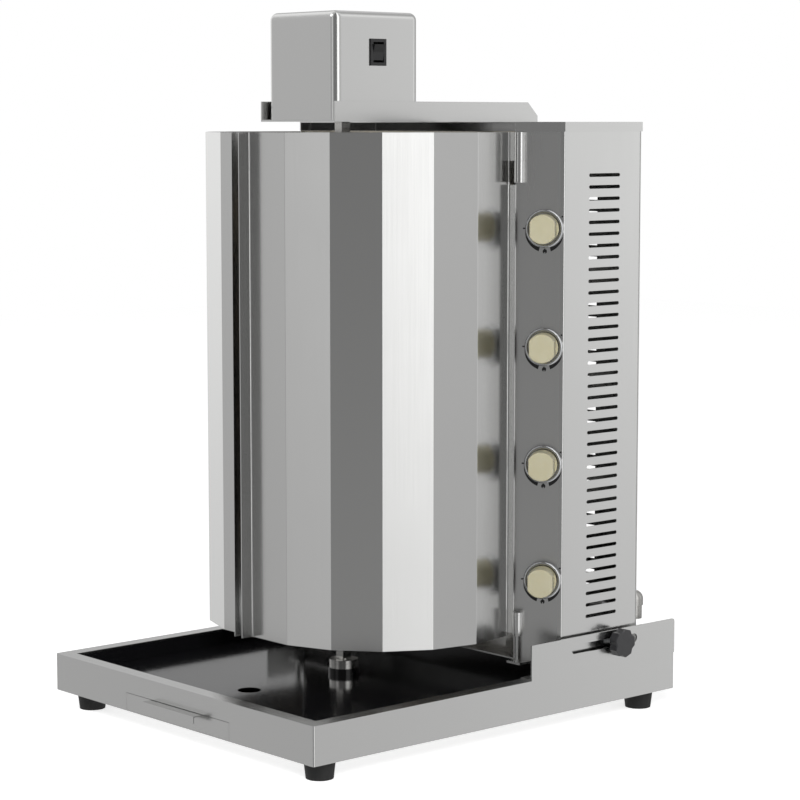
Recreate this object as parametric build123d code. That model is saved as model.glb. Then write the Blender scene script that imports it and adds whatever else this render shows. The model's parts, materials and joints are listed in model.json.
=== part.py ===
from build123d import *
from math import cos, hypot, radians, sin, tan
import os

# Gas doner grill in millimetres. The origin is on the floor under the middle of the whole
# footprint, from the drawer's grip in front to the back of the base.
# The doors face -Y, the gas controls are on the object's right, +X, and +Z is up.

# Clearances
running = 0.05
slide_gap = 0.08
free_gap = 0.3

# Doors: each is one sheet with upright folds, seen from above as part of a ring
facet_width = 65
facet_turn = 20
facet_count = 6
door_front_y = -180
right_edge_x = -4.6
left_edge_x = -21
grip_depth = 17
hinge_flange = 12
door_sheet = 1.5
bend_r = 1.6
door_bottom = 121
door_top = 767

# Hinges
hinge_from_fold_x = 15.4
hinge_from_fold_y = 4
barrel_r = 7
pin_r = 4
top_barrel_height = 63
top_fixed_height = 27
low_barrel_bottom = 126
low_barrel_top = 154
notch_over = 3
collar_r = 6.5
collar_h = 2
tab_sheet = 3
tab_width = 24

# Burner unit housing
sheet = 1.2
edge_from_hinge_x = -9.2
edge_from_hinge_y = 2.2
control_width = 62
control_turn = 39
nose_width = 5
side_depth = 140
unit_bottom = 90
unit_top = 780
lip = 14
floor_sheet = 2
roof_skirt = 11

# Vents
slot_pitch = 15
slot_count = 39
slot_length = 56.5
slot_height = 4.5
slot_start = 44.2
slot_bottom_z = 142.5
back_slot_length = 80
back_slot_height = 5
back_slot_pitch = 20
back_slot_count = 28
back_slot_bottom_z = 160
back_slot_x = 145

# Burners
burner_pitch = 150
burner_count = 4
burner_bottom_z = 196
shield_y = 98
shield_top = 768
shield_margin = 18
window_inset = 8
burner_width = 316
burner_height = 112
burner_depth = 38
burner_wall = 1.5
plaque_depth = 12
mixer_r = 12
mixer_length = 18
mixer_y = 20
guard_depth = 2
guard_frame = 7
guard_bars = 11
guard_bar = 1.6
probe_r = 2.5
probe_front = 9
probe_length = 34
probe_out = 8
probe_up = 30

# Gas train: depths are measured inwards from the control panel
tap_r = 12
tap_start = 4
tap_end = 50
tap_tail_r = 6
manifold_depth = 62
manifold_r = 9
manifold_bore_r = 7
manifold_over = 30
supply_r = 6
supply_z = 148
pipe_r = 3
pipe_rise = 34
pipe_depth = 30
pipe_drop_out = 12
inlet_x = 239
inlet_stand = 6
elbow_r = 12
port_r = 7.5
port_out = 3
inlet_below = 8
thread_r = 10.48
thread_length = 18
inlet_bore_r = 5

# Control knobs: heights are measured outwards from the control panel
stem_r = 4
stem_flat = 2.8
stem_in = 22
stem_out = 24
dial_from_corner = 24.6
bezel_r = 24.3
bezel_inner_r = 20.3
bezel_h = 9
knob_start = 4
knob_skirt_r = 18.6
knob_skirt_h = 9
knob_r = 18.4
knob_face = 33
knob_flat = 16
knob_wall = 2.2
knob_hub_r = 7
knob_push = 3.5

# Base
base_depth = 626
base_bottom = 25
base_top = 74
base_sheet = 1.5
base_flange = 20
foot_r = 20
foot_low_r = 17
foot_inset_x = 32
foot_inset_y = 36
rail_top = 120
rail_front_y = 53
rail_sheet = 2
rail_from_housing = 6
rail_foot = 20
rail_screw_r = 3
rail_slot_z = 104
rail_slot_h = 12
rail_slot_front = 125
rail_slot_back = 247
runner_width = 10
runner_front = 122
runner_length = 130
slide_front = 44
slide_back = 34

# Clamp studs and star knobs
stud_r = 4
stud_y = 207
stud_reach = 14
star_r = 19
star_lobes = 5
star_lobe_half = 17
star_waist = 16
star_head = 12
star_stand = 17
star_hub_r = 8.5
star_turn = 3
washer_r = 9

# Drip pan and grease drawer
pan_gap = 2
pan_sheet = 1.2
pan_floor_z = 53
pan_top = 72
pan_corner = 12
pan_collar = 8
pan_back_y = 150
drain_r = 15
drain_y = -190
drawer_width = 216
drawer_end_gap = 2
drawer_height = 22
drawer_sheet = 1.2
drawer_grip = 14
drawer_grip_width = 108
drawer_grip_drop = 9
guide_width = 14
guide_extra = 60

# Spit
spit_y = -31
spit_side = 14
spit_top = 728
spit_foot_r = 6
post_r = 19
post_base_r = 33
post_top = 72
post_bore = 14
dish_r = 79
dish_z = 128
dish_sheet = 3
dish_rim = 4
dish_hub_r = 17
dish_hub_h = 18

# Motor and drive
arm_width = 150
arm_sheet = 2.5
arm_front = 75
arm_back_y = 250
arm_wall = 26
arm_slot_w = 8.6
guide_stud_y = 108
clamp_stud_y = 168
cover_gap = 4.5
motor_depth = 142
motor_height = 137
motor_sheet = 1.5
motor_corner = 10
gear_width = 92
gear_depth = 100
gear_height = 34
gear_z = 796
motor_can_r = 36
motor_can_h = 78
shaft_r = 8
shaft_up = 26
shaft_bottom = 732
sleeve_r = 14
sleeve_bottom = 698
sleeve_top = 762
switch_z = 868
switch_width = 22
switch_height = 30
switch_depth = 12
switch_rim = 2
gland_r = 9
gland_z = 815
pivot_r = 1.5
back_screw_inset = 40


def fold_points():
    """Folds of the right door from the middle to the hinge side."""
    x, y = 0, door_front_y
    points = [(x, y)]
    for i in range(facet_count):
        x += facet_width * cos(radians(facet_turn * i))
        y += facet_width * sin(radians(facet_turn * i))
        points.append((x, y))
    return points


panel_x, panel_y = cos(radians(control_turn)), sin(radians(control_turn))
last_fold = fold_points()[-1]
hinge_x = last_fold[0] + hinge_from_fold_x
hinge_y = last_fold[1] + hinge_from_fold_y
front_x = hinge_x + edge_from_hinge_x
front_y = hinge_y + edge_from_hinge_y
side_x = front_x + control_width * panel_x
corner_y = front_y + control_width * panel_y
back_y = corner_y + side_depth
control_x = side_x - dial_from_corner * panel_x
control_y = corner_y - dial_from_corner * panel_y
burner_z = [burner_bottom_z + burner_pitch * i for i in range(burner_count)]
burner_front = shield_y + sheet
shield_half_width = burner_width / 2 + shield_margin
window_width = burner_width - 2 * window_inset
window_height = burner_height - 2 * window_inset
probe_x = burner_width / 2 + probe_out
pipe_drop_x = burner_width / 2 + mixer_length + pipe_drop_out
rail_x = side_x + rail_from_housing
base_width = 2 * (rail_x + rail_sheet)
rail_low = base_top + rail_sheet
top_barrel_bottom = door_top - top_barrel_height
top_barrel_split = top_barrel_bottom + top_fixed_height
arm_low = unit_top + slide_gap
motor_width = arm_width - 2 * (arm_sheet + cover_gap)
base_front = (drawer_grip - base_depth) / 2
base_back = (drawer_grip + base_depth) / 2
drawer_length = spit_y - post_base_r - drawer_end_gap - base_front


def save(name, part):
    part.label = name
    export_step(part, f"parts/{name}.step")


def unit(a, b):
    length = hypot(b[0] - a[0], b[1] - a[1])
    return ((b[0] - a[0]) / length, (b[1] - a[1]) / length)


def folded(points, thickness, bottom, top, inside_r=0):
    """Sheet with upright folds. Its thickness lies to the left of the path seen from above."""
    inner, tight, wide = [], [], []
    last = len(points) - 1
    for i, (x, y) in enumerate(points):
        before = unit(points[max(i - 1, 0)], points[max(i, 1)])
        after = unit(points[min(i, last - 1)], points[min(i + 1, last)])
        nx, ny = -before[1] - after[1], before[0] + after[0]
        share = thickness / (-before[1] * nx + before[0] * ny)
        inner.append((x + nx * share, y + ny * share))
        turns_left = before[0] * after[1] - before[1] * after[0] > 0
        if 0 < i < last:
            tight.append(inner[i] if turns_left else points[i])
            wide.append(points[i] if turns_left else inner[i])
    outline = Polygon(*points, *reversed(inner), align=None)
    if inside_r:
        for places, r in ((tight, inside_r), (wide, inside_r + thickness)):
            corners = [outline.vertices().sort_by_distance((x, y, 0))[0] for x, y in places]
            outline = fillet(corners, r)
    return extrude(Plane.XY.offset(bottom) * outline, amount=top - bottom)


def block(x, y, z):
    """Box between pairs of coordinates."""
    size = [side[1] - side[0] for side in (x, y, z)]
    middle = [(side[0] + side[1]) / 2 for side in (x, y, z)]
    return Pos(*middle) * Box(*size)


def post(x, y, r, bottom, top):
    return Pos(x, y, (bottom + top) / 2) * Cylinder(r, top - bottom)


def left_of(part):
    return mirror(part, about=Plane.YZ)


def on_panel(z):
    """Place on the control panel: local Z points out of the panel and local Y points up."""
    place = Plane((control_x, control_y, z), x_dir=(panel_x, panel_y, 0), z_dir=(panel_y, -panel_x, 0))
    return place.location


def rod(r, start, end):
    return Pos(0, 0, (start + end) / 2) * Cylinder(r, end - start)


def unit_plan(shrink):
    """Plan of the burner unit, drawn in from its outer faces by shrink."""
    front_cut = shrink * tan(radians(control_turn / 2))
    side_cut = shrink * tan(radians(45 - control_turn / 2))
    right = [
        (front_x - front_cut, front_y + shrink),
        (side_x - shrink, corner_y + side_cut),
        (side_x - shrink, back_y - shrink),
    ]
    return right + [(-x, y) for x, y in reversed(right)]


def make_door(edge_x, mirrored):
    folds = fold_points()
    grip_tip = (edge_x, door_front_y - grip_depth)
    edge = (edge_x, door_front_y)
    flange_tip = (last_fold[0] + hinge_flange, last_fold[1])
    door = folded([grip_tip, edge, *folds[1:], flange_tip], door_sheet, door_bottom, door_top, bend_r)
    notch_x = (last_fold[0] + door_sheet / 2, hinge_x + barrel_r)
    notch_y = (last_fold[1] - door_sheet, hinge_y)
    top_notch = (top_barrel_bottom - notch_over, top_barrel_split + free_gap)
    door -= block(notch_x, notch_y, top_notch)
    door -= block(notch_x, notch_y, (door_bottom, low_barrel_bottom))
    door += post(hinge_x, hinge_y, barrel_r, top_barrel_split + free_gap, door_top)
    door += post(hinge_x, hinge_y, pin_r, top_barrel_bottom, top_barrel_split + free_gap)
    door += post(hinge_x, hinge_y, barrel_r, low_barrel_bottom, low_barrel_top)
    door -= post(hinge_x, hinge_y, pin_r + running, low_barrel_bottom, low_barrel_top)
    return left_of(door) if mirrored else door


def make_upper_hinge():
    """Fixed barrel, welded to the control panel by a short lug."""
    middle = (top_barrel_bottom + top_barrel_split) / 2
    height = top_barrel_split - top_barrel_bottom
    barrel = post(hinge_x, hinge_y, barrel_r, top_barrel_bottom, top_barrel_split)
    offset = (front_x - hinge_x) * panel_y - (front_y - hinge_y) * panel_x
    turned = Plane((hinge_x, hinge_y, middle), x_dir=(panel_x, panel_y, 0), z_dir=(panel_y, -panel_x, 0))
    lug = turned.location * Pos(0, 0, offset / 2) * Box(barrel_r, height, -offset)
    return barrel + lug - post(hinge_x, hinge_y, pin_r + running, top_barrel_bottom, top_barrel_split)


def make_lower_hinge():
    """Tab under the housing with the pin that the door's lower barrel turns on."""
    tab = Box(tab_width, 2 * tab_width, tab_sheet, align=(Align.CENTER, Align.MIN, Align.MAX))
    tab = Pos(hinge_x, hinge_y - barrel_r, unit_bottom) * tab
    pin = post(hinge_x, hinge_y, pin_r, unit_bottom - tab_sheet, low_barrel_top - collar_h)
    collar_top = low_barrel_bottom - free_gap
    return tab + pin + post(hinge_x, hinge_y, collar_r, collar_top - collar_h, collar_top)


def nose_start():
    """Where the side panel's nose meets the control panel, just before the corner."""
    return side_x - nose_width * panel_x, corner_y - nose_width * panel_y


def make_control_panel(with_taps):
    """Sheet with a lip at its front edge and a flange that turns in beside the side panel's nose."""
    x, y = nose_start()
    points = [
        (front_x, front_y + lip),
        (front_x, front_y),
        (x, y),
        (x - lip * panel_y, y + lip * panel_x),
    ]
    panel = folded(points, sheet, unit_bottom, unit_top - sheet)
    if with_taps:
        for z in burner_z:
            panel -= on_panel(z) * rod(stem_r + 2, -2 * sheet, sheet)
        return panel
    return left_of(panel)


def make_side_panel():
    """Side panel with its column of vent slots, a nose bent round the front corner and a back flange."""
    points = [nose_start(), (side_x, corner_y), (side_x, back_y), (side_x - lip, back_y)]
    panel = folded(points, sheet, unit_bottom, unit_top - sheet, bend_r)
    face = Plane((side_x, 0, 0), x_dir=(0, 1, 0), z_dir=(1, 0, 0))
    slots = Sketch() + [
        Pos(corner_y + slot_start + slot_length / 2, slot_bottom_z + slot_pitch * i)
        * SlotOverall(slot_length, slot_height)
        for i in range(slot_count)
    ]
    panel -= extrude(face * slots, amount=-3 * sheet)
    stud_hole = Plane((side_x, stud_y, rail_slot_z), z_dir=(1, 0, 0)).location
    return panel - stud_hole * Cylinder(stud_r, 6 * sheet)


def make_back_panel():
    half_w = side_x - sheet
    panel = block((-half_w, half_w), (back_y, back_y + sheet), (unit_bottom, unit_top - sheet))
    face = Plane((0, back_y, 0), x_dir=(1, 0, 0), z_dir=(0, -1, 0))
    slots = Sketch() + [
        Pos(side * back_slot_x, back_slot_bottom_z + back_slot_pitch * i)
        * Rectangle(back_slot_length, back_slot_height)
        for side in (-1, 1)
        for i in range(back_slot_count)
    ]
    panel -= extrude(face * slots, amount=-2 * sheet)
    hole = Plane((inlet_x, back_y, supply_z), z_dir=(0, 1, 0)).location
    return panel - hole * Cylinder(supply_r + running, 6 * sheet)


def make_roof():
    """Lid with a skirt that closes over the panels' upper edges."""
    plan = Polygon(*unit_plan(-sheet), align=None)
    lid = extrude(Plane.XY.offset(unit_top - sheet - roof_skirt) * plan, amount=roof_skirt + sheet)
    hollow = Polygon(*unit_plan(0), align=None)
    lid -= extrude(Plane.XY.offset(unit_top - sheet - roof_skirt) * hollow, amount=roof_skirt)
    front = block((-front_x + sheet, front_x - sheet), (front_y - 2 * sheet, front_y), (0, unit_top - sheet))
    back = block((-side_x, side_x), (back_y - sheet, back_y + 2 * sheet), (0, unit_top - sheet))
    return lid - front - back


def make_floor(right_panels):
    """Floor plate, notched round the lips and bends of the panels."""
    plan = Polygon(*unit_plan(sheet), align=None)
    plate = extrude(Plane.XY.offset(unit_bottom) * plan, amount=floor_sheet)
    for panel in right_panels:
        plate = plate - panel - left_of(panel)
    return plate


def make_heat_shield():
    """Bright sheet behind the spit, with a window in front of each burner."""
    right = [(front_x, front_y + lip), (front_x, front_y), (shield_half_width, shield_y)]
    path = [(-x, y) for x, y in right] + list(reversed(right))
    shield = folded(path, sheet, unit_bottom + floor_sheet, shield_top)
    for z in burner_z:
        window_z = (z - window_height / 2, z + window_height / 2)
        shield -= block((-window_width / 2, window_width / 2), (shield_y - 2, shield_y + 4), window_z)
        shield -= Pos(probe_x, shield_y, z + probe_up) * Rot(90, 0, 0) * Cylinder(probe_r, 6 * sheet)
    return shield


def make_burner(z):
    """Folded plenum box, open to the front, with the gas and air inlet at its right end."""
    half_w, half_h = burner_width / 2, burner_height / 2
    back = burner_front + burner_depth
    body = block((-half_w, half_w), (burner_front, back), (z - half_h, z + half_h))
    body -= block(
        (burner_wall - half_w, half_w - burner_wall),
        (burner_front, back - burner_wall),
        (z - half_h + burner_wall, z + half_h - burner_wall),
    )
    mixer = Pos(half_w, burner_front + mixer_y, z) * Rot(0, 90, 0)
    body += mixer * rod(mixer_r, -burner_wall, mixer_length)
    return body - mixer * rod(mixer_r - 2, -2 * burner_wall, mixer_length)


def make_plaques():
    """Ceramic tiles that fill the burners' mouths."""
    half_w = burner_width / 2 - burner_wall
    half_h = burner_height / 2 - burner_wall
    depth = (burner_front, burner_front + plaque_depth)
    return Compound(children=[block((-half_w, half_w), depth, (z - half_h, z + half_h)) for z in burner_z])


def make_guards():
    """Wire guards in front of the windows, each a frame with upright bars."""
    half_w = window_width / 2 + guard_frame
    half_h = window_height / 2 + guard_frame / 2
    guards = []
    for z in burner_z:
        guard = block((-half_w, half_w), (shield_y - guard_depth, shield_y), (z - half_h, z + half_h))
        gap = (window_width - (guard_bars - 1) * guard_bar) / guard_bars
        for i in range(guard_bars):
            left = -window_width / 2 + i * (gap + guard_bar)
            inner_z = (z - half_h + guard_frame, z + half_h - guard_frame)
            guard -= block((left, left + gap), (shield_y - guard_depth, shield_y), inner_z)
        guards.append(guard)
    return Compound(children=guards)


def make_probes():
    """Flame probes beside the plaques, one for each burner."""
    probes = []
    for z in burner_z:
        probe = Pos(probe_x, shield_y - probe_front, z + probe_up) * Rot(-90, 0, 0)
        rounded = probe * rod(probe_r, 0, probe_length)
        probes.append(rounded + probe * rod(probe_r + 1.5, probe_front + sheet, probe_front + sheet + 5))
    return Compound(children=probes)


def depth_point(depth):
    return control_x - depth * panel_y, control_y + depth * panel_x


def make_manifold():
    """Upright gas rail with a blind top and a port for each tap."""
    x, y = depth_point(manifold_depth)
    rail = post(x, y, manifold_r, supply_z - 2 * supply_r, burner_z[-1] + manifold_over)
    rail -= post(x, y, manifold_bore_r, supply_z - supply_r, burner_z[-1] + manifold_over - 5)
    for z in burner_z:
        rail -= on_panel(z) * rod(tap_tail_r, -manifold_depth, -tap_end)
    port = Pos(x, y, supply_z) * Rot(-90, 0, 0)
    return rail - port * rod(supply_r, 0, 2 * manifold_r)


def make_supply_pipe():
    """Pipe from the manifold's foot to the inlet behind the housing."""
    x, y = depth_point(manifold_depth)
    start = y + manifold_bore_r
    bend_y = (start + back_y) / 2
    corners = [
        (x, start, supply_z),
        (x, bend_y - 16, supply_z),
        (inlet_x, bend_y + 16, supply_z),
        (inlet_x, back_y + inlet_stand, supply_z),
    ]
    path = FilletPolyline(*corners, radius=20)
    ring = Circle(supply_r) - Circle(supply_r - 1)
    return sweep(Plane(corners[0], z_dir=(0, 1, 0)) * ring, path=path)


def make_tap(z):
    """Gas tap with a blind bore for its stem and a tail that screws into the manifold."""
    place = on_panel(z)
    hexagon = extrude(Plane.XY.offset(-tap_start - 12) * RegularPolygon(tap_r, 6), amount=12)
    body = place * (hexagon + rod(tap_r - 2, -tap_end, -tap_start - 12))
    body += place * rod(tap_tail_r, -manifold_depth + manifold_bore_r, -tap_end)
    body -= place * rod(stem_r + running, -stem_in, 0)
    return body


def make_pipes():
    """Small pipes from the taps to the burners' mixing tubes."""
    pipes = []
    px, py = depth_point(pipe_depth)
    mixer_axis = burner_front + mixer_y
    for z in burner_z:
        corners = [
            (px, py, z + tap_r - 3),
            (px, py, z + pipe_rise),
            (pipe_drop_x, mixer_axis, z + pipe_rise),
            (pipe_drop_x, mixer_axis, z),
            (burner_width / 2 + 8, mixer_axis, z),
        ]
        path = FilletPolyline(*corners, radius=8)
        pipe = sweep(Plane(corners[0], z_dir=(0, 0, 1)) * Circle(pipe_r), path=path)
        pipes.append(pipe - on_panel(z) * rod(tap_r - 2, -tap_end, -tap_start))
    return Compound(children=pipes)


def make_inlet():
    """Plated elbow behind the housing, with its thread pointing down."""
    mid_y = back_y + inlet_stand + port_out + elbow_r
    low = supply_z - inlet_below
    port = Pos(inlet_x, mid_y, supply_z) * Rot(90, 0, 0)
    elbow = Pos(inlet_x, mid_y, supply_z) * Sphere(elbow_r) + port * rod(port_r, 0, elbow_r + port_out)
    elbow += post(inlet_x, mid_y, elbow_r, low, supply_z)
    elbow += post(inlet_x, mid_y, thread_r, low - thread_length, low)
    elbow -= post(inlet_x, mid_y, inlet_bore_r, low - thread_length, supply_z)
    return elbow - port * rod(inlet_bore_r, 0, elbow_r + port_out)


def make_bezels():
    """Chrome rings on the control panel round the knobs."""
    wall = bezel_r - bezel_inner_r
    ring = rod(bezel_r, 0, bezel_h) - rod(bezel_inner_r, 0, bezel_h)
    rims = ring.edges().filter_by(GeomType.CIRCLE).group_by(Axis.Z)[-1].sort_by(SortBy.RADIUS)
    ring = fillet(rims[-1], 0.62 * wall)
    rims = ring.edges().filter_by(GeomType.CIRCLE).group_by(Axis.Z)[-1].sort_by(SortBy.RADIUS)
    ring = fillet(rims[0], 0.3 * wall)
    return Compound(children=[on_panel(z) * ring for z in burner_z])


def make_stem(z):
    """Stem with a flat that reaches as low as the pushed-in knob."""
    flat_low = knob_start + knob_wall - knob_push - free_gap
    flat = block((stem_flat, 2 * stem_r), (-stem_r, stem_r), (flat_low, stem_out))
    return on_panel(z) * (rod(stem_r, -stem_in + 1, stem_out) - flat)


def make_knob(z):
    """Hollow moulded cap: round skirt, raised grip with two flats, and a hub for the stem."""
    grip = rod(knob_r, knob_skirt_h, knob_face)
    grip &= Box(2 * knob_flat, 3 * knob_r, 3 * knob_face)
    grip = fillet(grip.edges().filter_by(Plane.XY).sort_by(Axis.Z)[-4:], 1.8)
    cap = rod(knob_skirt_r, knob_start, knob_skirt_h) + grip
    inside = rod(knob_r - knob_wall, knob_start, knob_face - 1.5 * knob_wall)
    inside &= Box(2 * (knob_flat - knob_wall), 3 * knob_r, 3 * knob_face)
    hub = rod(knob_hub_r, knob_start + knob_wall, knob_face - knob_wall)
    bore = rod(stem_r + running, 0, stem_out + knob_push + 1)
    bore &= Box(2 * (stem_flat + running), 3 * stem_r, 3 * knob_face) + Pos(-stem_r, 0, 0) * Box(
        2 * stem_r, 3 * stem_r, 3 * knob_face
    )
    return on_panel(z) * (cap - inside + hub - bore)


def star_outline():
    """Star head: lobes with short flat tips joined by waists."""
    points = []
    for i in range(star_lobes):
        middle = 360 / star_lobes * i
        points += [(star_r, middle - star_lobe_half), (star_r, middle + star_lobe_half)]
        points.append((star_waist, middle + 180 / star_lobes))
    return Polygon(*[(r * cos(radians(a)), r * sin(radians(a))) for r, a in points], align=None)


def make_star(place):
    """Star knob with a blind hole, built along local Z with its hub end at the origin."""
    head = extrude(Plane.XY.offset(star_stand - star_head) * star_outline(), amount=star_head)
    head = fillet(head.edges().filter_by(Axis.Z), 2)
    head = chamfer(head.edges().group_by(Axis.Z)[-1], 1)
    star = head + rod(star_hub_r, 0, star_stand - star_head)
    return place * (star - rod(stud_r + running, 0, stud_reach))


def side_stud_place():
    lobe = (0, cos(radians(star_turn)), sin(radians(star_turn)))
    return Plane((base_width / 2 + free_gap, stud_y, rail_slot_z), x_dir=lobe, z_dir=(1, 0, 0)).location


def arm_stud_place():
    return Pos(0, clamp_stud_y, arm_low + arm_sheet + free_gap)


def make_side_studs():
    """Threaded studs with weld nut and spacer collar that run in the rail slots."""
    inner = side_x - sheet
    stud = Plane((0, stud_y, rail_slot_z), z_dir=(1, 0, 0)).location
    shape = stud * rod(stud_r, inner - 8, base_width / 2 + stud_reach - 1)
    shape += stud * rod(washer_r, inner - 8, inner)
    shape += stud * rod(washer_r, side_x, rail_x - slide_gap)
    return Compound(children=[shape, left_of(shape)])


def make_roof_studs():
    clamp = post(0, clamp_stud_y, stud_r, unit_top, arm_low + arm_sheet + stud_reach - 1)
    guide = post(0, guide_stud_y, stud_r, unit_top, arm_low + arm_sheet + 4)
    guide += post(0, guide_stud_y, washer_r, arm_low + arm_sheet + free_gap, arm_low + arm_sheet + 4)
    return Compound(children=[clamp, guide])


def make_runners():
    inner = side_x - sheet
    right = block(
        (inner - runner_width, inner),
        (runner_front, runner_front + runner_length),
        (rail_low + slide_gap, unit_bottom),
    )
    return Compound(children=[right, left_of(right)])


def make_base_tray():
    half_w = base_width / 2
    tray = block((-half_w, half_w), (base_front, base_back), (base_bottom, base_top))
    tray = fillet(tray.edges().filter_by(Axis.Z), 3)
    tray -= block(
        (base_sheet - half_w, half_w - base_sheet),
        (base_front + base_sheet, base_back - base_sheet),
        (base_bottom + base_sheet, base_top - base_sheet),
    )
    inner_w = half_w - base_flange
    inner_y = (base_front + base_flange, base_back - base_flange)
    tray -= block((-inner_w, inner_w), inner_y, (base_top - 2 * base_sheet, base_top))
    mouth_w = drawer_width / 2 + free_gap
    mouth_z = (base_bottom + base_sheet, base_bottom + base_sheet + drawer_height + 2 * free_gap)
    return tray - block((-mouth_w, mouth_w), (base_front, base_front + base_sheet), mouth_z)


def make_feet():
    cone = Cone(foot_low_r, foot_r, base_bottom, align=(Align.CENTER, Align.CENTER, Align.MIN))
    x = base_width / 2 - foot_inset_x
    rows = (base_front + foot_inset_y, base_back - foot_inset_y)
    return Compound(children=[Pos(side * x, y, 0) * cone for side in (-1, 1) for y in rows])


def make_rail():
    """Angle rail on the tray's flange, with the slot for the clamp stud."""
    outer = base_width / 2
    ends = (rail_front_y, base_back)
    web = block((rail_x, outer), ends, (base_top, rail_top))
    web = fillet(web.edges().filter_by(Axis.X).sort_by(Axis.Z)[-1:], 4)
    foot = block((outer - rail_foot, outer), ends, (base_top, rail_low))
    slot = Plane((outer, 0, 0), x_dir=(0, 1, 0), z_dir=(1, 0, 0))
    length = rail_slot_back - rail_slot_front
    hole = Pos((rail_slot_front + rail_slot_back) / 2, rail_slot_z) * SlotOverall(length, rail_slot_h)
    return web + foot - extrude(slot * hole, amount=-2 * rail_sheet)


def make_rail_screws():
    heads = []
    for side in (-1, 1):
        for share in (0.08, 0.5, 0.92):
            x = side * (rail_x - rail_screw_r - 2 * free_gap)
            y = rail_front_y + share * (base_back - rail_front_y)
            heads.append(post(x, y, rail_screw_r, rail_low, rail_low + 2))
    return Compound(children=heads)


def make_pan():
    """Enamelled drip pan with a drain and a raised hole round the spit's bearing post."""
    half_w = base_width / 2 - base_flange - pan_gap
    front = base_front + base_flange + pan_gap
    pan = block((-half_w, half_w), (front, pan_back_y), (pan_floor_z - pan_sheet, pan_top))
    pan = fillet(pan.edges().filter_by(Axis.Z), pan_corner)
    inside = block(
        (pan_sheet - half_w, half_w - pan_sheet),
        (front + pan_sheet, pan_back_y - pan_sheet),
        (pan_floor_z, pan_top),
    )
    pan -= fillet(inside.edges().filter_by(Axis.Z), pan_corner - pan_sheet)
    low = pan_floor_z - pan_sheet
    pan += post(0, spit_y, post_r + free_gap + pan_sheet, low, pan_floor_z + pan_collar)
    pan -= post(0, spit_y, post_r + free_gap, low, pan_floor_z + pan_collar)
    return pan - post(0, drain_y, drain_r, low, pan_top)


def make_guides():
    """Channels on the tray's floor that carry the pan and guide the drawer."""
    low, high = base_bottom + base_sheet, pan_floor_z - pan_sheet
    inner = drawer_width / 2 + free_gap
    front = base_front + base_sheet
    ends = (front, front + drawer_length + guide_extra)
    right = block((inner, inner + guide_width), ends, (low, high))
    hollow_z = (low + drawer_sheet, high - drawer_sheet)
    right -= block((inner + drawer_sheet, inner + guide_width), ends, hollow_z)
    return Compound(children=[right, left_of(right)])


def make_drawer():
    half_w = drawer_width / 2
    front = base_front
    low = base_bottom + base_sheet + slide_gap
    drawer = block((-half_w, half_w), (front, front + drawer_length), (low, low + drawer_height))
    drawer -= block(
        (drawer_sheet - half_w, half_w - drawer_sheet),
        (front + drawer_sheet, front + drawer_length - drawer_sheet),
        (low + drawer_sheet, low + drawer_height),
    )
    lip_z = low + drawer_height
    grip_x = (-drawer_grip_width / 2, drawer_grip_width / 2)
    tip = front - drawer_grip
    grip = block(grip_x, (tip, front + drawer_sheet), (lip_z - drawer_sheet, lip_z))
    return drawer + grip + block(grip_x, (tip, tip + drawer_sheet), (lip_z - drawer_grip_drop, lip_z))


def make_bearing_post():
    low = base_bottom + base_sheet
    bearing = post(0, spit_y, post_r, low, post_top) + post(0, spit_y, post_base_r, low, low + 4)
    return bearing - post(0, spit_y, spit_foot_r + running, post_top - post_bore, post_top)


def make_spit():
    """Square spit with a round foot that turns in the bearing post and a chamfered top."""
    half = spit_side / 2
    square_bottom = post_top + 1
    bar = block((-half, half), (spit_y - half, spit_y + half), (square_bottom, spit_top))
    bar = chamfer(bar.edges().group_by(Axis.Z)[-1], 2)
    return bar + post(0, spit_y, spit_foot_r, post_top - post_bore + free_gap, square_bottom)


def make_dish():
    """Round meat dish with a turned-up rim and a square hub that sits on the spit."""
    dish = post(0, spit_y, dish_r, dish_z, dish_z + dish_rim + dish_sheet)
    dish -= post(0, spit_y, dish_r - dish_sheet, dish_z + dish_sheet, dish_z + dish_rim + dish_sheet)
    dish += post(0, spit_y, dish_hub_r, dish_z - 8, dish_z + dish_hub_h)
    half = spit_side / 2
    return dish - block((-half, half), (spit_y - half, spit_y + half), (dish_z - 8, dish_z + dish_hub_h))


def make_arm():
    """Channel on the roof that carries the motor over the spit and slides on two studs."""
    half = arm_width / 2
    front = spit_y - arm_front
    arm = block((-half, half), (front, arm_back_y), (arm_low, arm_low + arm_wall))
    arm = chamfer(arm.edges().filter_by(Axis.X).group_by(Axis.Z)[-1].sort_by(Axis.Y)[-1:], 18)
    inner_z = (arm_low + arm_sheet, arm_low + arm_wall)
    arm -= block((arm_sheet - half, half - arm_sheet), (front, arm_back_y), inner_z)
    slot_from = guide_stud_y - slide_front - arm_slot_w
    slot_to = clamp_stud_y + slide_back + arm_slot_w
    slot = Pos(0, (slot_from + slot_to) / 2, arm_low) * Rot(0, 0, 90)
    arm -= slot * extrude(SlotOverall(slot_to - slot_from, arm_slot_w), amount=3 * arm_sheet)
    return arm - post(0, spit_y, sleeve_r + 2, arm_low, arm_low + arm_sheet)


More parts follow.
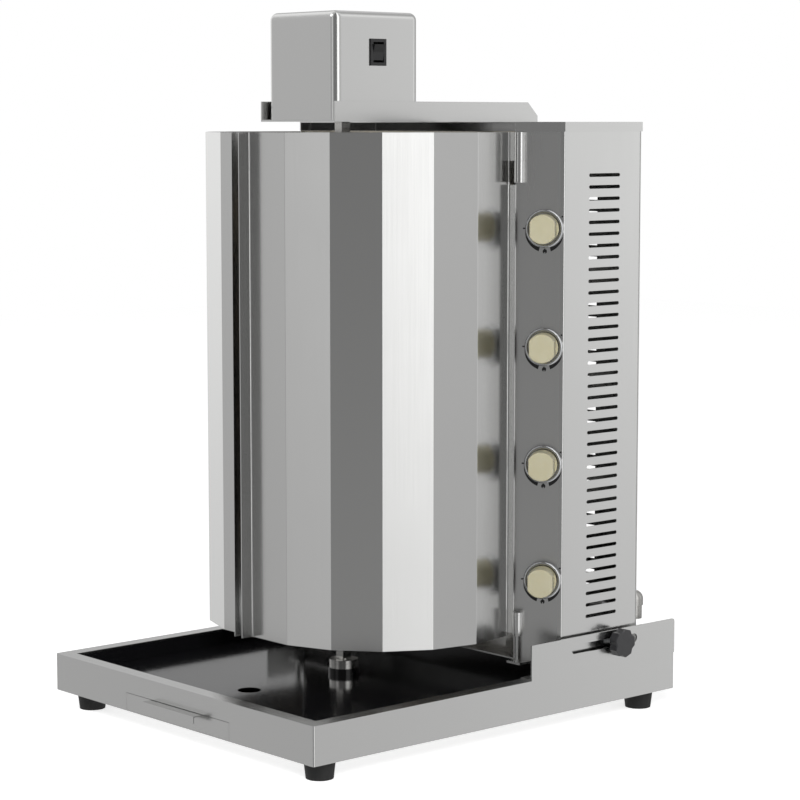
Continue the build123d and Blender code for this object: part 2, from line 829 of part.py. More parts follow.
def make_motor_cover():
    half_w, half_d = motor_width / 2, motor_depth / 2
    low = arm_low + arm_sheet
    mid_y = spit_y + 2
    cover = block((-half_w, half_w), (mid_y - half_d, mid_y + half_d), (low, low + motor_height))
    cover = fillet(cover.edges().filter_by(Axis.Z) + cover.edges().group_by(Axis.Z)[-1], motor_corner)
    inner = block(
        (motor_sheet - half_w, half_w - motor_sheet),
        (mid_y - half_d + motor_sheet, mid_y + half_d - motor_sheet),
        (low, low + motor_height - motor_sheet),
    )
    inner_edges = inner.edges().filter_by(Axis.Z) + inner.edges().group_by(Axis.Z)[-1]
    cover -= fillet(inner_edges, motor_corner - motor_sheet)
    opening = (switch_z - switch_height / 2, switch_z + switch_height / 2)
    cover -= block((half_w - 3, half_w), (mid_y - switch_width / 2, mid_y + switch_width / 2), opening)
    gland = Pos(0, mid_y + half_d, gland_z) * Rot(-90, 0, 0)
    return cover - gland * rod(gland_r - 2, -4, 4)


def make_gear_motor():
    """Gearbox block on two feet with the motor can on top."""
    block_y = (spit_y - gear_depth / 2, spit_y + gear_depth / 2)
    body = block((-gear_width / 2, gear_width / 2), block_y, (gear_z, gear_z + gear_height))
    body += post(0, spit_y, motor_can_r, gear_z + gear_height, gear_z + gear_height + motor_can_h)
    for side in (-1, 1):
        edge = side * gear_width / 2
        foot_x = (min(edge, edge - side * 12), max(edge, edge - side * 12))
        body += block(foot_x, block_y, (arm_low + arm_sheet, gear_z))
    return body - post(0, spit_y, shaft_r + running, gear_z, gear_z + shaft_up + 1)


def make_shaft():
    """Drive shaft: round in the gearbox and square below for the sleeve."""
    half = spit_side / 2
    square = block((-half, half), (spit_y - half, spit_y + half), (shaft_bottom, gear_z - free_gap))
    return square + post(0, spit_y, shaft_r, gear_z - free_gap, gear_z + shaft_up)


def make_sleeve():
    """Sliding sleeve that joins the drive shaft to the square top of the spit."""
    half = spit_side / 2 + slide_gap
    sleeve = post(0, spit_y, sleeve_r, sleeve_bottom, sleeve_top)
    sleeve += post(0, spit_y, sleeve_r + 3, sleeve_bottom, sleeve_bottom + 8)
    return sleeve - block((-half, half), (spit_y - half, spit_y + half), (sleeve_bottom, sleeve_top))


def switch_frame_x():
    return motor_width / 2


def make_switch_body():
    """Snap-in frame and body of the motor switch."""
    mid_y = spit_y + 2
    face = switch_frame_x()
    half_w, half_h = switch_width / 2, switch_height / 2
    rim = switch_rim

    def around(x, grow):
        y = (mid_y - half_w - grow, mid_y + half_w + grow)
        return block(x, y, (switch_z - half_h - grow, switch_z + half_h + grow))

    frame = around((face, face + rim), rim) + around((face - switch_depth, face), 0)
    frame -= around((face - switch_depth + rim, face + rim), -rim)
    return frame - rocker_pivot(pivot_r + running)


def rocker_pivot(r):
    """Pin that the rocker turns on, across the switch just behind its face."""
    length = switch_width - 2 * free_gap
    return Pos(switch_frame_x() - 1, spit_y + 2, switch_z) * Rot(90, 0, 0) * Cylinder(r, length)


def make_rocker():
    """Rocker of the motor switch, drawn in its off position."""
    mid_y = spit_y + 2
    face = switch_frame_x()
    half_w, half_h = switch_width / 2 - switch_rim - free_gap, switch_height / 2 - 5
    back, low, middle, high = face - 4, face + 1, face + 2, face + 5
    corners = [(back, -half_h), (low, -half_h), (middle, 0), (high, half_h), (back, half_h)]
    outline = Polygon(*corners, align=None)
    side = Plane((0, mid_y + half_w, switch_z), x_dir=(1, 0, 0), z_dir=(0, -1, 0))
    return extrude(side * outline, amount=2 * half_w) + rocker_pivot(pivot_r)


def make_gland():
    """Cable gland in the back of the motor cover."""
    mid_y = spit_y + 2 + motor_depth / 2
    gland = Pos(0, mid_y, gland_z) * Rot(-90, 0, 0)
    body = gland * (rod(gland_r - 2, -4, 3) + rod(gland_r, 0, 6) + rod(gland_r - 2, 6, 14))
    return body - gland * rod(3.5, -4, 14)


def make_back_screws():
    heads = []
    for side in (-1, 1):
        for i in range(5):
            height = unit_top - unit_bottom - 2 * back_screw_inset
            z = unit_bottom + back_screw_inset + i * height / 4
            head = Pos(side * (side_x - lip / 2 - 1), back_y + sheet, z) * Rot(-90, 0, 0)
            heads.append(head * rod(4, 0, 2.5))
    return Compound(children=heads)


def main():
    os.makedirs("parts", exist_ok=True)
    save("base_tray", make_base_tray())
    save("rubber_feet", make_feet())
    rail = make_rail()
    save("right_rail", rail)
    save("left_rail", left_of(rail))
    save("rail_screws", make_rail_screws())
    save("drip_pan", make_pan())
    save("drawer_guides", make_guides())
    save("spit_bearing", make_bearing_post())
    save("grease_drawer", make_drawer())
    side_panel = make_side_panel()
    save("right_side_panel", side_panel)
    save("left_side_panel", left_of(side_panel))
    control_panel = make_control_panel(True)
    save("control_panel", control_panel)
    save("left_corner_panel", make_control_panel(False))
    save("back_panel", make_back_panel())
    save("back_screws", make_back_screws())
    save("roof", make_roof())
    save("floor_plate", make_floor([control_panel, side_panel]))
    save("heat_shield", make_heat_shield())
    save("slide_runners", make_runners())
    save("side_studs", make_side_studs())
    save("roof_studs", make_roof_studs())
    upper = make_upper_hinge()
    save("upper_hinges", Compound(children=[upper, left_of(upper)]))
    lower = make_lower_hinge()
    save("right_lower_hinge", lower)
    save("left_lower_hinge", left_of(lower))
    save("right_door", make_door(right_edge_x, False))
    save("left_door", make_door(-left_edge_x, True))
    for i, z in enumerate(burner_z, start=1):
        save(f"burner_{i}", make_burner(z))
        save(f"stem_{i}", make_stem(z))
        save(f"knob_{i}", make_knob(z))
    save("plaques", make_plaques())
    save("gas_taps", Compound(children=[make_tap(z) for z in burner_z]))
    save("burner_guards", make_guards())
    save("flame_probes", make_probes())
    save("manifold", make_manifold())
    save("supply_pipe", make_supply_pipe())
    save("injector_pipes", make_pipes())
    save("gas_inlet", make_inlet())
    save("knob_bezels", make_bezels())
    right_star = make_star(side_stud_place())
    save("right_star_knob", right_star)
    save("left_star_knob", left_of(right_star))
    save("arm_star_knob", make_star(arm_stud_place()))
    save("motor_arm", make_arm())
    save("motor_cover", make_motor_cover())
    save("gear_motor", make_gear_motor())
    save("drive_shaft", make_shaft())
    save("drive_sleeve", make_sleeve())
    save("spit", make_spit())
    save("meat_dish", make_dish())
    save("switch_body", make_switch_body())
    save("switch_rocker", make_rocker())
    save("cable_gland", make_gland())


main()
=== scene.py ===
# %% [markdown]
# A gas doner grill in Blender. The solid parts come from CAD and stand fixed in their places, in
# metres, with the doors towards -Y, the gas controls towards +X and +Z up. This script gives them
# their studio, their finishes and the printed marks that have no thickness worth a CAD solid.

# %% Load the frame
import json
from math import cos, pi, radians, sin

import bpy
from mathutils import Matrix, Vector


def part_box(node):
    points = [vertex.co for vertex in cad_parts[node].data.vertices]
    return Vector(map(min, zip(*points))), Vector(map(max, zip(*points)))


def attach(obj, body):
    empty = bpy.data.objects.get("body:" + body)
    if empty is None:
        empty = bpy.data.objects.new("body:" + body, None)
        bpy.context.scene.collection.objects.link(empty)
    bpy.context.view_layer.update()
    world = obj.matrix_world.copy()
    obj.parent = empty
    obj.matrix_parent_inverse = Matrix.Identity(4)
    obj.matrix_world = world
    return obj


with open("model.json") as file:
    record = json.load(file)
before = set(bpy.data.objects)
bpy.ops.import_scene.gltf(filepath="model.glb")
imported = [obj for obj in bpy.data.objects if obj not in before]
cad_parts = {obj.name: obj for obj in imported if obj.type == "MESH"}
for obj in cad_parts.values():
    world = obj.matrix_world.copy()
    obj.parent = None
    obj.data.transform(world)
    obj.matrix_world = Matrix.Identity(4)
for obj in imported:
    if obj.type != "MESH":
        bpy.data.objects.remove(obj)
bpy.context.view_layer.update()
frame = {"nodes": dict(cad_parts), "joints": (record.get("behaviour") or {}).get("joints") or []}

scene = bpy.context.scene
nodes = frame["nodes"]
joints = {joint["name"]: joint for joint in frame["joints"]}

# %% [markdown]
# The photograph was taken with a long lens from in front of the object's right corner, at the
# height of the housing's top. A long lens keeps the upright folds parallel. The camera could stand
# level with a large lens shift, but other views keep that shift, so it is pitched down a little
# instead and the shift stays at zero.

# %% Camera
camera_place = Vector((2.4765, -2.1161, 0.780))
camera_heading = 48.58
camera_pitch = 6.40
camera_data = bpy.data.cameras.new("camera")
camera_data.sensor_width = 36
camera_data.lens = 111.6
camera = bpy.data.objects.new("camera", camera_data)
camera.location = camera_place
camera.rotation_euler = (radians(90 - camera_pitch), 0, radians(camera_heading))
scene.collection.objects.link(camera)
scene.camera = camera
print("Camera distance to the middle of the footprint, m:", round(camera_place.length, 3))

# %% [markdown]
# Colours are written as sRGB hex, the way a paint or colour picker gives them. Blender's shaders
# work in linear light, so one function turns every hex value to linear. Another small function adds
# any shader node with its settings and its links, which keeps the materials short to read.

# %% Colour and node helpers
def linear(hex_colour):
    channels = [int(hex_colour[i : i + 2], 16) / 255 for i in (1, 3, 5)]
    return tuple(c / 12.92 if c <= 0.04045 else ((c + 0.055) / 1.055) ** 2.4 for c in channels) + (1,)


def add(tree, kind, settings=(), links=()):
    """Adds a node. Settings name an input socket or a property, and links name an input socket."""
    node = tree.nodes.new(kind)
    for name, value in dict(settings).items():
        if isinstance(name, int) or name in node.inputs:
            node.inputs[name].default_value = value
        else:
            setattr(node, name, value)
    for name, source in dict(links).items():
        tree.links.new(source, node.inputs[name])
    return node


print("White in linear light:", linear("#FFFFFF"))

# %% [markdown]
# Satin steel has little colour of its own: nearly all of what the eye reads is the studio in it.
# The photographer stood black flags and white boards round the object, which is why neighbouring
# door facets, only 20 degrees apart, are almost white and dark grey. Boards could be modelled as
# planes, but a plane near the object shows its edges in other views. The studio is therefore
# painted on the world by compass direction, for glossy rays, and the camera itself sees plain
# white behind the object.

# %% Studio boards round the object
# Heading from +X in degrees, and brightness of the board that stands there
studio_boards = [
    (-180, 1.20),
    (-166, 1.20),
    (-152, 0.66),
    (-126, 0.70),
    (-118, 0.42),
    (-107, 0.42),
    (-100, 0.95),
    (-88, 0.95),
    (-77, 0.28),
    (-64, 0.24),
    (-50, 0.27),
    (-40, 0.22),
    (-30, 0.25),
    (-23, 0.40),
    (-20, 2.10),
    (4, 2.00),
    (9, 0.74),
    (30, 0.72),
    (38, 0.82),
    (43, 0.90),
    (50, 1.42),
    (56, 1.14),
    (63, 0.70),
    (90, 0.55),
    (120, 0.85),
    (152, 0.55),
    (166, 1.20),
    (179.9, 1.20),
]
brightest = max(value for heading, value in studio_boards)
world = bpy.data.worlds.new("studio")
scene.world = world
world.use_nodes = True
tree = world.node_tree
tree.nodes.clear()
direction = add(tree, "ShaderNodeTexCoord")
split = add(tree, "ShaderNodeSeparateXYZ", links={0: direction.outputs["Generated"]})
heading = add(
    tree, "ShaderNodeMath", {"operation": "ARCTAN2"}, {0: split.outputs["Y"], 1: split.outputs["X"]}
)
turn = add(tree, "ShaderNodeMapRange", {1: -pi, 2: pi}, {0: heading.outputs[0]})
boards = add(tree, "ShaderNodeValToRGB", links={0: turn.outputs[0]})
stops = boards.color_ramp.elements
stops[0].position = 0
stops[1].position = 1
for angle, value in studio_boards[1:-1]:
    stops.new((angle + 180) / 360)
for stop, (angle, value) in zip(stops, studio_boards):
    grey = value / brightest
    stop.color = (grey, grey, grey, 1)
print("Studio boards:", len(studio_boards), "brightest", brightest)

# %% [markdown]
# A level mirror shows the same slope downwards that the camera looks, from 0 to about 12 degrees
# below the horizon. Down there the boards end and the studio's grey floor begins, so towards its
# bottom each bright facet in the photograph darkens and each dark one lightens. Mixing the boards
# with one grey does both; a plain fade to black would only darken.

# %% Grey studio floor below the boards
floor_grey = 0.45 / brightest
floor_slope, floor_share = -0.21, 0.47
depth_share = add(
    tree,
    "ShaderNodeMapRange",
    {1: floor_slope, 2: 0.0, 3: floor_share, 4: 0.0},
    {0: split.outputs["Z"]},
)
round_view = add(
    tree,
    "ShaderNodeMix",
    {"data_type": "RGBA", 7: (floor_grey, floor_grey, floor_grey, 1)},
    {0: depth_share.outputs[0], 6: boards.outputs[0]},
)
studio = add(tree, "ShaderNodeBackground", {"Strength": brightest}, {"Color": round_view.outputs[2]})
print("Studio floor's share straight at its slope:", floor_share)

# %% [markdown]
# Three kinds of ray see three worlds: glossy rays see the boards, camera rays and rays through clear
# things see plain white, and all others see an even grey that fills the shadows.

# %% One world for each kind of ray
fill_level = 0.36
fill = add(tree, "ShaderNodeBackground", {"Color": linear("#FFFFFF"), "Strength": fill_level})
backdrop = add(tree, "ShaderNodeBackground", {"Color": linear("#FFFFFF"), "Strength": 1.0})
ray = add(tree, "ShaderNodeLightPath")
shiny = add(
    tree,
    "ShaderNodeMixShader",
    links={0: ray.outputs["Is Glossy Ray"], 1: fill.outputs[0], 2: studio.outputs[0]},
)
clear = add(
    tree,
    "ShaderNodeMath",
    {"operation": "MAXIMUM"},
    {0: ray.outputs["Is Camera Ray"], 1: ray.outputs["Is Transmission Ray"]},
)
seen = add(
    tree,
    "ShaderNodeMixShader",
    links={0: clear.outputs[0], 1: shiny.outputs[0], 2: backdrop.outputs[0]},
)
add(tree, "ShaderNodeOutputWorld", links={0: seen.outputs[0]})
scene.view_settings.view_transform = "Standard"
print("World nodes:", len(tree.nodes))

# %% [markdown]
# Knobs, feet and the pan scatter light instead of mirroring it, so they need lamps. The photograph's
# knobs are bright on their faces and darker all round, so the main lamp stands beside the camera and
# only a little above it. Polished sheet would mirror a lamp that low, so glossy rays don't see it.
# A weaker lamp stands high at the left.

# %% Lamps
def soft_lamp(name, place, width, power):
    lamp_data = bpy.data.lights.new(name, "AREA")
    lamp_data.shape = "DISK"
    lamp_data.size = width
    lamp_data.energy = power
    lamp = bpy.data.objects.new(name, lamp_data)
    lamp.location = place
    lamp.rotation_euler = (Vector((0, 0, 0.45)) - Vector(place)).to_track_quat("-Z", "Y").to_euler()
    scene.collection.objects.link(lamp)
    return lamp


key_lamp = soft_lamp("key_lamp", (3.0, -2.4, 2.1), 1.3, 86)
key_lamp.visible_glossy = False
left_lamp = soft_lamp("left_lamp", (-1.6, -2.6, 3.0), 1.8, 28)
print("Lamps:", key_lamp.name, left_lamp.name)

# %% [markdown]
# The object stands on a plain white floor that melts into the white background. A white floor under
# lamps is brightest near them, so its far end would show as a grey band below the horizon. A glow
# that only camera rays see lifts all of it to white. It adds no light to the object, and the soft
# shadow under the base stays darker than the rest.

# %% Floor
floor_size = 12
floor_glow = 0.66
bpy.ops.mesh.primitive_grid_add(size=floor_size, x_subdivisions=2, y_subdivisions=2)
floor = bpy.context.object
floor.name = "floor"
floor_paint = bpy.data.materials.new("white studio floor")
floor_paint.use_nodes = True
tree = floor_paint.node_tree
tree.nodes.clear()
paint = add(tree, "ShaderNodeBsdfDiffuse", {"Color": linear("#F2F2F2")})
ray = add(tree, "ShaderNodeLightPath")
seen_lift = add(
    tree,
    "ShaderNodeMath",
    {"operation": "MULTIPLY", 1: floor_glow},
    {0: ray.outputs["Is Camera Ray"]},
)
lift = add(tree, "ShaderNodeEmission", {"Color": linear("#FFFFFF")}, {"Strength": seen_lift.outputs[0]})
both = add(tree, "ShaderNodeAddShader", links={0: paint.outputs[0], 1: lift.outputs[0]})
add(tree, "ShaderNodeOutputMaterial", links={0: both.outputs[0]})
floor.data.materials.append(floor_paint)
floor.visible_glossy = False
print("Floor, m:", floor_size)

# %% [markdown]
# The casing is stainless steel sheet, 1.2 to 2.5 mm thick, with a satin finish: it was ground with a
# fine abrasive belt along its length, which leaves lines a few tenths of a millimetre apart. The eye
# sees a soft, slightly stretched mirror. The lines are finer than a pixel, so they are drawn 1.2 mm
# apart and 140 mm long, very faint, as a change of roughness and a small bump. A broad faint cloud
# of roughness keeps the large panels from looking computed. The control panel has a slightly duller
# satin than the doors.

# %% Satin stainless steel
mm = 0.001
line_gap = 1.2 * mm
line_length = 140 * mm
line_bump = 0.2 * mm
line_strength = 0.03
cloud_size = 120 * mm
cloud_share = 0.4


def start_material(name, colour, metallic, roughness):
    material = bpy.data.materials.new(name)
    material.use_nodes = True
    shader = material.node_tree.nodes["Principled BSDF"]
    shader.inputs["Base Color"].default_value = linear(colour)
    shader.inputs["Metallic"].default_value = metallic
    shader.inputs["Roughness"].default_value = roughness
    return material, material.node_tree, shader


def satin_steel(name, grain, colour="#C9C9C8", smooth=0.17, rough=0.23):
    """Ground steel sheet. The grain names the axis that the grinding lines follow."""
    material, tree, shader = start_material(name, colour, 1.0, rough)
    stretch = [1 / line_gap] * 3
    stretch["XYZ".index(grain)] = 1 / line_length
    place = add(tree, "ShaderNodeTexCoord")
    lines_map = add(tree, "ShaderNodeMapping", {"Scale": stretch}, {"Vector": place.outputs["Object"]})
    lines = add(tree, "ShaderNodeTexNoise", {"Scale": 1.0, "Detail": 2.0}, {"Vector": lines_map.outputs[0]})
    cloud = add(
        tree,
        "ShaderNodeTexNoise",
        {"Scale": 1 / cloud_size, "Detail": 3.0},
        {"Vector": place.outputs["Object"]},
    )
    mixed = add(
        tree,
        "ShaderNodeMix",
        {"data_type": "FLOAT", 0: cloud_share},
        {2: lines.outputs["Fac"], 3: cloud.outputs["Fac"]},
    )
    level = add(
        tree,
        "ShaderNodeMapRange",
        {1: 0.3, 2: 0.7, 3: smooth, 4: rough},
        {0: mixed.outputs[0]},
    )
    bump = add(
        tree,
        "ShaderNodeBump",
        {"Strength": line_strength, "Distance": line_bump},
        {"Height": lines.outputs["Fac"]},
    )
    tree.links.new(level.outputs[0], shader.inputs["Roughness"])
    tree.links.new(bump.outputs[0], shader.inputs["Normal"])
    return material


upright_steel = satin_steel("satin stainless steel, upright grain", "Z")
level_steel = satin_steel("satin stainless steel, level grain", "Y", smooth=0.20, rough=0.26)
panel_steel = satin_steel("satin stainless steel, control panel", "Z", smooth=0.27, rough=0.33)
print("Grinding lines, mm:", line_gap / mm, "apart,", line_length / mm, "long")

# %% [markdown]
# The sheet behind the spit is bright annealed steel. Years of burners in front of it would turn it
# straw and brown, but this one is new, so only a breath of straw shows at the height of each burner.

# %% Bright annealed steel
burner_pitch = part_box("burner_2")[0].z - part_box("burner_1")[0].z
burner_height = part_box("burner_1")[1].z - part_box("burner_1")[0].z
first_burner = (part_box("burner_1")[0].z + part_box("burner_1")[1].z) / 2
shield_steel, tree, shader = start_material("bright annealed steel", "#CDCCC9", 1.0, 0.16)
place = add(tree, "ShaderNodeTexCoord")
split = add(tree, "ShaderNodeSeparateXYZ", links={0: place.outputs["Object"]})
rise = add(tree, "ShaderNodeMath", {"operation": "SUBTRACT", 1: first_burner}, {0: split.outputs["Z"]})
period = add(
    tree,
    "ShaderNodeMath",
    {"operation": "PINGPONG", 1: burner_pitch / 2},
    {0: rise.outputs[0]},
)
heat = add(
    tree,
    "ShaderNodeMapRange",
    {1: 0.0, 2: burner_height / 2, 3: 1.0, 4: 0.0},
    {0: period.outputs[0]},
)
wave = add(
    tree,
    "ShaderNodeTexNoise",
    {"Scale": 1 / (40 * mm), "Detail": 3.0},
    {"Vector": place.outputs["Object"]},
)
warmth = add(
    tree,
    "ShaderNodeMath",
    {"operation": "MULTIPLY"},
    {0: heat.outputs[0], 1: wave.outputs["Fac"]},
)
tint = add(
    tree,
    "ShaderNodeMix",
    {"data_type": "RGBA", 6: linear("#CDCCC9"), 7: linear("#C9B78C")},
    {0: warmth.outputs[0]},
)
tree.links.new(tint.outputs[2], shader.inputs["Base Color"])
print("Burner pitch, m:", round(burner_pitch, 4))

# %% [markdown]
# Turned, drawn and cast metals differ mostly in how their tool marks run. A turned spit or stem has
# fine rings, a cast gearbox has a pebbled skin, and a zinc-plated screw has a cloudy grey coat. Each
# gets its metal's colour, a typical roughness and one pattern at the size of its marks.

# %% Turned, plated and cast metals
def marked_metal(name, colour, roughness, mark, depth, stretch=(1, 1, 1)):
    """Metal with tool marks of a size in metres and a bump depth in metres."""
    material, tree, shader = start_material(name, colour, 1.0, roughness)
    place = add(tree, "ShaderNodeTexCoord")
    sized = add(
        tree,
        "ShaderNodeMapping",
        {"Scale": [value / mark for value in stretch]},
        {"Vector": place.outputs["Object"]},
    )
    marks = add(tree, "ShaderNodeTexNoise", {"Scale": 1.0, "Detail": 2.0}, {"Vector": sized.outputs[0]})
    level = add(
        tree,
        "ShaderNodeMapRange",
        {1: 0.3, 2: 0.7, 3: roughness * 0.8, 4: roughness * 1.2},
        {0: marks.outputs["Fac"]},
    )
    bump = add(
        tree,
        "ShaderNodeBump",
        {"Strength": 0.3, "Distance": depth},
        {"Height": marks.outputs["Fac"]},
    )
    tree.links.new(level.outputs[0], shader.inputs["Roughness"])
    tree.links.new(bump.outputs[0], shader.inputs["Normal"])
    return material


turned_steel = marked_metal(
    "turned and polished steel", "#CFCECB", 0.18, 1.2 * mm, 0.02 * mm, (0.05, 0.05, 1)
)
zinc = marked_metal("zinc-plated steel", "#BEC1C2", 0.32, 2.5 * mm, 0.02 * mm)
wire_steel = marked_metal("heat-dulled steel wire", "#A8A39C", 0.38, 1.5 * mm, 0.03 * mm)
probe_steel = marked_metal("heat-resistant electrode steel", "#B7B1A8", 0.25, 1.0 * mm, 0.02 * mm)
brass = marked_metal("machined brass", "#C9A65C", 0.24, 1.0 * mm, 0.02 * mm, (1, 1, 0.1))
copper = marked_metal("drawn copper tube", "#C98563", 0.26, 2.0 * mm, 0.02 * mm)
tube_steel = marked_metal("drawn steel tube", "#B4B5B5", 0.30, 1.5 * mm, 0.02 * mm)
cast_aluminium = marked_metal("die-cast aluminium", "#A9ABAC", 0.50, 1.8 * mm, 0.12 * mm)
chrome = marked_metal("bright chrome plate", "#BFC0C1", 0.06, 6.0 * mm, 0.005 * mm)
nickel = marked_metal(
    "satin nickel plate on brass", "#A9A8A5", 0.30, 1.2 * mm, 0.02 * mm, (0.3, 0.3, 1)
)
print("Metals with tool marks:", 10)

# %% [markdown]
# The pan is steel with vitreous enamel, a glass fired on at over 800 degrees. Black enamel is a
# deep glossy black whose surface ripples a little, like orange peel, about 3 mm from crest to crest.

# %% Black vitreous enamel
enamel, tree, shader = start_material("black vitreous enamel", "#141416", 0.0, 0.10)
shader.inputs["IOR"].default_value = 1.52
place = add(tree, "ShaderNodeTexCoord")
peel = add(
    tree,
    "ShaderNodeTexNoise",
    {"Scale": 1 / (3 * mm), "Detail": 1.0},
    {"Vector": place.outputs["Object"]},
)
bump = add(
    tree,
    "ShaderNodeBump",
    {"Strength": 0.15, "Distance": 0.05 * mm},
    {"Height": peel.outputs["Fac"]},
)
tree.links.new(bump.outputs[0], shader.inputs["Normal"])
specks = add(
    tree,
    "ShaderNodeMapRange",
    {1: 0.35, 2: 0.75, 3: 0.08, 4: 0.16},
    {0: peel.outputs["Fac"]},
)
tree.links.new(specks.outputs[0], shader.inputs["Roughness"])
print("Enamel ripple, mm:", 3)

# %% [markdown]
# The knobs are moulded in an ivory thermoset plastic that stands the heat, with a soft sheen from the
# mould's satin surface. Light goes a little way in, which rounds off the shading. The star knobs,
# the switch and the feet are black: nylon with glass fibre, ABS and nitrile rubber, from glossy to
# dull. One function makes them all, because only colour, sheen and grain size differ.

# %% Moulded plastics and rubber
def moulded(name, colour, second, roughness, grain, depth):
    """Moulded piece whose colour clouds towards a second one, with a fine skin from the mould."""
    material, tree, shader = start_material(name, colour, 0.0, roughness)
    place = add(tree, "ShaderNodeTexCoord")
    cloud = add(
        tree,
        "ShaderNodeTexNoise",
        {"Scale": 1 / (14 * mm), "Detail": 2.0},
        {"Vector": place.outputs["Object"]},
    )
    skin = add(
        tree,
        "ShaderNodeTexNoise",
        {"Scale": 1 / grain, "Detail": 2.0},
        {"Vector": place.outputs["Object"]},
    )
    blended = add(
        tree,
        "ShaderNodeMix",
        {"data_type": "RGBA", 6: linear(colour), 7: linear(second)},
        {0: cloud.outputs["Fac"]},
    )
    level = add(
        tree,
        "ShaderNodeMapRange",
        {1: 0.3, 2: 0.7, 3: roughness * 0.85, 4: roughness * 1.15},
        {0: skin.outputs["Fac"]},
    )
    bump = add(
        tree,
        "ShaderNodeBump",
        {"Strength": 0.2, "Distance": depth},
        {"Height": skin.outputs["Fac"]},
    )
    tree.links.new(blended.outputs[2], shader.inputs["Base Color"])
    tree.links.new(level.outputs[0], shader.inputs["Roughness"])
    tree.links.new(bump.outputs[0], shader.inputs["Normal"])
    return material


ivory = moulded("moulded ivory thermoset", "#C5C0A7", "#BEB796", 0.34, 0.7 * mm, 0.03 * mm)
ivory_shader = ivory.node_tree.nodes["Principled BSDF"]
ivory_shader.inputs["Subsurface Weight"].default_value = 0.08
ivory_shader.inputs["Subsurface Radius"].default_value = (2 * mm, 1.5 * mm, 0.8 * mm)
nylon = moulded("glass-filled black nylon", "#2C2C2E", "#343436", 0.24, 0.8 * mm, 0.04 * mm)
switch_plastic = moulded("black ABS", "#161617", "#1B1B1C", 0.32, 0.6 * mm, 0.03 * mm)
rubber = moulded("nitrile rubber", "#1F1F20", "#272726", 0.72, 0.9 * mm, 0.08 * mm)
print("Moulded finishes:", 4)

# %% [markdown]
# A burner plaque is a pressed cordierite tile with thousands of holes about 1.3 mm wide, where the
# gas burns on the surface. Modelling each hole would cost far more than it shows, so the holes are a
# regular cell pattern, dented by a bump and coloured dark brown as painted shade for the inside of
# each hole. They are drawn 3 mm apart, a little coarser than the real ones, to show.

# %% Perforated cordierite
hole_pitch = 3 * mm
hole_r = 0.8 * mm
cordierite, tree, shader = start_material("perforated cordierite", "#D8C4A6", 0.0, 0.85)
place = add(tree, "ShaderNodeTexCoord")
flat = add(tree, "ShaderNodeMapping", {"Scale": (1, 0, 1)}, {"Vector": place.outputs["Object"]})
cells = add(
    tree,
    "ShaderNodeTexVoronoi",
    {"Scale": 1 / hole_pitch, "Randomness": 0.0},
    {"Vector": flat.outputs[0]},
)
hole = add(
    tree,
    "ShaderNodeMapRange",
    {1: 0.8 * hole_r / hole_pitch, 2: 1.2 * hole_r / hole_pitch, 3: 1.0, 4: 0.0},
    {0: cells.outputs["Distance"]},
)
# Painted shade: the dark brown stands in for the shade inside each hole, which the flat tile lacks.
shade = add(
    tree,
    "ShaderNodeMix",
    {"data_type": "RGBA", 6: linear("#D8C4A6"), 7: linear("#3A2F26")},
    {0: hole.outputs[0]},
)
bump = add(
    tree,
    "ShaderNodeBump",
    {"Strength": 0.8, "Distance": 0.6 * mm, "invert": True},
    {"Height": hole.outputs[0]},
)
tree.links.new(shade.outputs[2], shader.inputs["Base Color"])
tree.links.new(bump.outputs[0], shader.inputs["Normal"])

# %% [markdown]
# Each CAD node takes the finish of its real piece. A table of finish to nodes reads like a
# workshop's material list, and whatever it leaves out would show as unpainted, so the cell checks
# that every node has a finish.

# %% Finishes of the CAD nodes
finishes = {
    upright_steel: [
        "right_side_panel", "left_side_panel", "back_panel", "right_door", "left_door", "upper_hinges",
        "right_lower_hinge", "left_lower_hinge", "motor_cover",
    ],
    panel_steel: ["control_panel", "left_corner_panel"],
    level_steel: [
        "base_tray", "right_rail", "left_rail", "grease_drawer", "drawer_guides", "roof", "floor_plate",
        "slide_runners", "motor_arm", "burner_1", "burner_2", "burner_3", "burner_4",
    ],
    shield_steel: ["heat_shield"],
    turned_steel: [
        "spit", "meat_dish", "spit_bearing", "drive_shaft", "drive_sleeve",
        "stem_1", "stem_2", "stem_3", "stem_4",
    ],
    zinc: ["rail_screws", "back_screws", "side_studs", "roof_studs"],
    enamel: ["drip_pan"],
    rubber: ["rubber_feet"],
    cordierite: ["plaques"],
    wire_steel: ["burner_guards"],
    probe_steel: ["flame_probes"],
    brass: ["gas_taps"],
    nickel: ["gas_inlet"],
    copper: ["injector_pipes"],
    tube_steel: ["manifold", "supply_pipe"],
    chrome: ["knob_bezels"],
    ivory: ["knob_1", "knob_2", "knob_3", "knob_4"],
    nylon: ["right_star_knob", "left_star_knob", "arm_star_knob"],
    cast_aluminium: ["gear_motor"],
    switch_plastic: ["switch_body", "switch_rocker", "cable_gland"],
}
for material, names in finishes.items():
    for name in names:
        slots = nodes[name].data.materials
        slots.clear()
        slots.append(material)
unpainted = sorted(set(nodes) - {name for names in finishes.values() for name in names})
print("Nodes without a finish:", unpainted)

# %% [markdown]
# Round each knob the control panel is screen printed in black: two crescents that swell towards a
# small flame at the bottom, a dash at the off position and a dot near the top. Ink is a tenth of a
# millimetre thick, too thin for CAD. The marks could be a texture, but small meshes stay sharp at
# any distance, so each mark is a flat outline laid on the panel and given a little thickness.

# %% Printing ink
ink, tree, shader = start_material("black screen-printing ink", "#101011", 0.0, 0.45)
place = add(tree, "ShaderNodeTexCoord")
coat = add(
    tree,
    "ShaderNodeTexNoise",
    {"Scale": 1 / (0.8 * mm), "Detail": 2.0},
    {"Vector": place.outputs["Object"]},
)
level = add(tree, "ShaderNodeMapRange", {1: 0.3, 2: 0.7, 3: 0.38, 4: 0.52}, {0: coat.outputs["Fac"]})
tree.links.new(level.outputs[0], shader.inputs["Roughness"])
ink_lift = 0.03 * mm
ink_thick = 0.06 * mm
print("Ink, mm:", ink_thick / mm)

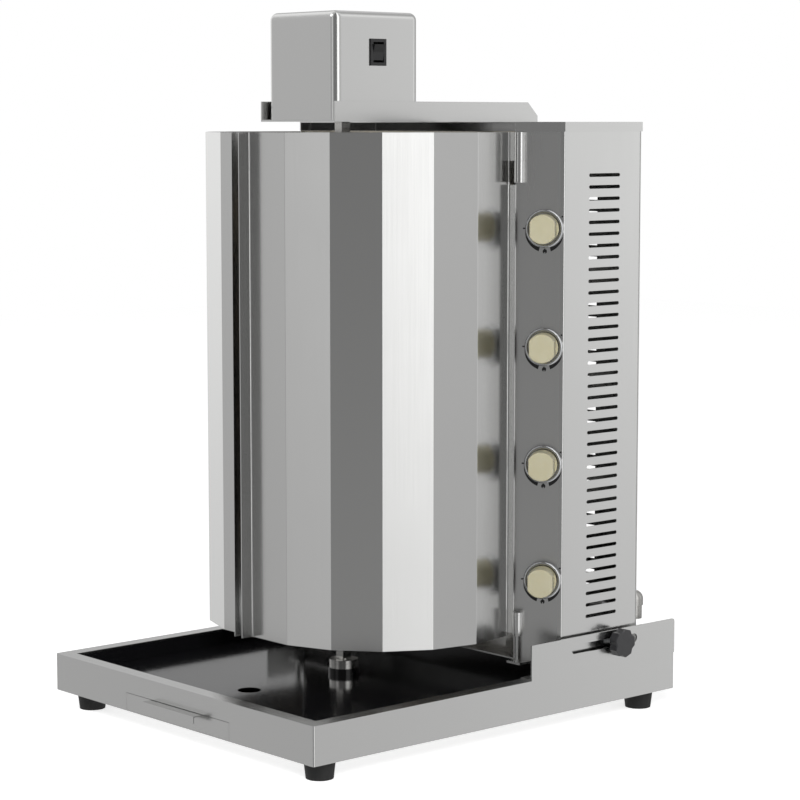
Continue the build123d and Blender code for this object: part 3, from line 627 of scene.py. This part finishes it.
# %% [markdown]
# The marks' outlines are drawn in millimetres round the stem's axis, with X to the right and Y up.
# The crescents come from two radii that part as the angle goes down to the flame. The right one
# starts lower, because the flat of the panel ends just beside the knob. The flame is a short list of
# points that make a drop with a flick.

# %% Outlines of the dial's marks
crescent_inner_r = 24.7
crescent_outer_r = 25.0
crescent_swell = 4.9
crescent_end = 15


def ring_point(radius, angle):
    return radius * cos(radians(angle)), radius * sin(radians(angle))


def crescent(side, start):
    """Swelling arc down to the flame. Side is -1 on the left, start is in degrees from the bottom."""
    steps = 18
    outer, inner = [], []
    for i in range(steps + 1):
        share = i / steps
        angle = 270 + side * (start - share * (start - crescent_end))
        outer.append(ring_point(crescent_outer_r + crescent_swell * share**0.8, angle))
        inner.append(ring_point(crescent_inner_r, angle))
    return outer + inner[::-1]


flame_drop = [
    (0.0, 3.4), (0.8, 2.4), (1.4, 1.5), (1.9, 2.1), (2.6, 0.6), (2.75, -1.0), (2.2, -2.4),
    (1.3, -3.2), (0.5, -3.2), (0.8, -2.3), (0.0, -1.2), (-0.8, -2.3), (-0.5, -3.2),
    (-1.3, -3.2), (-2.2, -2.4), (-2.75, -1.0), (-2.5, 0.6), (-1.5, 1.8), (-0.6, 2.6),
]
flame_place = (0.0, -28.4)
dash_from, dash_to, dash_high = -27.9, -24.6, 1.8
dash = [
    (dash_from, -dash_high / 2),
    (dash_to, -dash_high / 2),
    (dash_to, dash_high / 2),
    (dash_from, dash_high / 2),
]
dot_r = 1.2
dot_corners = 12
dot_x, dot_y = 22.1, 15.0
dot = []
for i in range(dot_corners):
    x, y = ring_point(dot_r, 360 * i / dot_corners)
    dot.append((dot_x + x, dot_y + y))
marks = [
    crescent(-1, 82),
    crescent(1, 66),
    [(x + flame_place[0], y + flame_place[1]) for x, y in flame_drop],
    dash,
    dot,
]
print("Marks on a dial:", len(marks))

# %% [markdown]
# One mesh holds the marks of all four dials. Each dial's place and direction come from the joint
# that its tap turns on, so the print follows the CAD if a tap is ever moved.

# %% Dial print
import bmesh

print_mesh = bmesh.new()
for number in range(1, 5):
    tap = joints[f"tap_{number}_turn"]
    out = Vector(tap["axis"]).normalized()
    right = Vector((0, 0, 1)).cross(out)
    to_panel = Matrix((right, Vector((0, 0, 1)), out)).transposed()
    middle = Vector(tap["pos_m"])
    for outline in marks:
        corners = [middle + to_panel @ Vector((x * mm, y * mm, ink_lift)) for x, y in outline]
        low = [print_mesh.verts.new(corner) for corner in corners]
        face = print_mesh.faces.new(low)
        raised = bmesh.ops.extrude_face_region(print_mesh, geom=[face])["geom"]
        lifted = [part for part in raised if isinstance(part, bmesh.types.BMVert)]
        bmesh.ops.translate(print_mesh, verts=lifted, vec=out * ink_thick)
bmesh.ops.recalc_face_normals(print_mesh, faces=print_mesh.faces)
dial_mesh = bpy.data.meshes.new("dial_print")
print_mesh.to_mesh(dial_mesh)
print_mesh.free()
dial_print = bpy.data.objects.new("dial_print", dial_mesh)
scene.collection.objects.link(dial_print)
dial_mesh.materials.append(ink)
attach(dial_print, "burner_unit")
print("Dial print faces:", len(dial_mesh.polygons))
